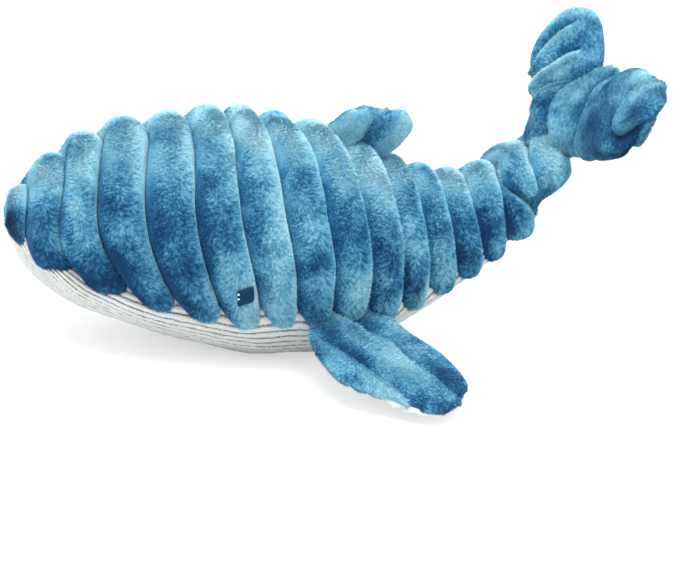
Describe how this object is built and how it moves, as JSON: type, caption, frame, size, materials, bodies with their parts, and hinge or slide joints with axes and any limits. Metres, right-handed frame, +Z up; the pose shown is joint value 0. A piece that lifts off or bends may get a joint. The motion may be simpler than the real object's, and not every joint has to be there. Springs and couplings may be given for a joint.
{
  "type": "plush whale",
  "caption": "Plush whale of ribbed blue pile cloth with a pale corded belly, filled fins and an upturned fluke tail.",
  "frame": {"origin": "middle of the base of the whale's box, on the plane that its belly rests on", "axes": "-X points to the nose, -Y to the whale's left side, +Z up to its back"},
  "size_m": [0.353, 0.2322, 0.1987],
  "materials": {
    "pile_cloth": "short brushed pile in mottled blues, sewn into round ribs",
    "corded_cloth": "pale velvety cloth with thin grey lengthwise cords",
    "fibre_filling": "loose white fibre",
    "navy_thread": "glossy satin-stitched thread",
    "white_thread": "glossy satin-stitched thread"
  },
  "bodies": {
    "trunk": {"back_cover": "pile_cloth", "belly_panel": "corded_cloth", "trunk_filling": "fibre_filling", "eye_left": "navy_thread", "eye_left_glint": "white_thread", "eye_right": "navy_thread", "eye_right_glint": "white_thread"},
    "tail": {"tail_cover": "pile_cloth", "tail_belly_panel": "corded_cloth", "tail_filling": "fibre_filling"},
    "dorsal_fin": {"dorsal_fin_left_panel": "pile_cloth", "dorsal_fin_right_panel": "pile_cloth", "dorsal_fin_filling": "fibre_filling"},
    "pectoral_left": {"pectoral_left_top_panel": "pile_cloth", "pectoral_left_under_panel": "corded_cloth", "pectoral_left_filling": "fibre_filling"},
    "fluke_left": {"fluke_left_front_panel": "pile_cloth", "fluke_left_back_panel": "pile_cloth", "fluke_left_filling": "fibre_filling"},
    "pectoral_right": {"pectoral_right_top_panel": "pile_cloth", "pectoral_right_under_panel": "corded_cloth", "pectoral_right_filling": "fibre_filling"},
    "fluke_right": {"fluke_right_front_panel": "pile_cloth", "fluke_right_back_panel": "pile_cloth", "fluke_right_filling": "fibre_filling"}
  },
  "joints": [
    {"name": "tail_bend", "type": "hinge", "parent": "trunk", "child": "tail", "pos_m": [0.07148, 0, 0.06731], "axis": [0, -1, 0], "range_deg": [-18, 18], "stiffness_Nm_per_rad": 1.2},
    {"name": "fluke_left_flap", "type": "hinge", "parent": "tail", "child": "fluke_left", "pos_m": [0.15227, -0.0201, 0.14622], "axis": [-0.4726, -0.3266, -0.8185], "range_deg": [-25, 25], "stiffness_Nm_per_rad": 0.2},
    {"name": "fluke_right_flap", "type": "hinge", "parent": "tail", "child": "fluke_right", "pos_m": [0.15494, 0.01363, 0.15085], "axis": [0.399, -0.6027, 0.691], "range_deg": [-25, 25], "stiffness_Nm_per_rad": 0.2},
    {"name": "pectoral_left_flap", "type": "hinge", "parent": "trunk", "child": "pectoral_left", "pos_m": [0.00785, -0.04793, 0.03452], "axis": [-0.9821, -0.1841, -0.04], "range_deg": [-30, 30], "stiffness_Nm_per_rad": 0.2},
    {"name": "pectoral_right_flap", "type": "hinge", "parent": "trunk", "child": "pectoral_right", "pos_m": [0.00785, 0.04793, 0.03452], "axis": [0.9821, -0.1841, 0.04], "range_deg": [-30, 30], "stiffness_Nm_per_rad": 0.2},
    {"name": "dorsal_fin_flap", "type": "hinge", "parent": "trunk", "child": "dorsal_fin", "pos_m": [0.01342, 0, 0.11575], "axis": [0.9339, 0, -0.3576], "range_deg": [-25, 25], "stiffness_Nm_per_rad": 0.1}
  ]
}
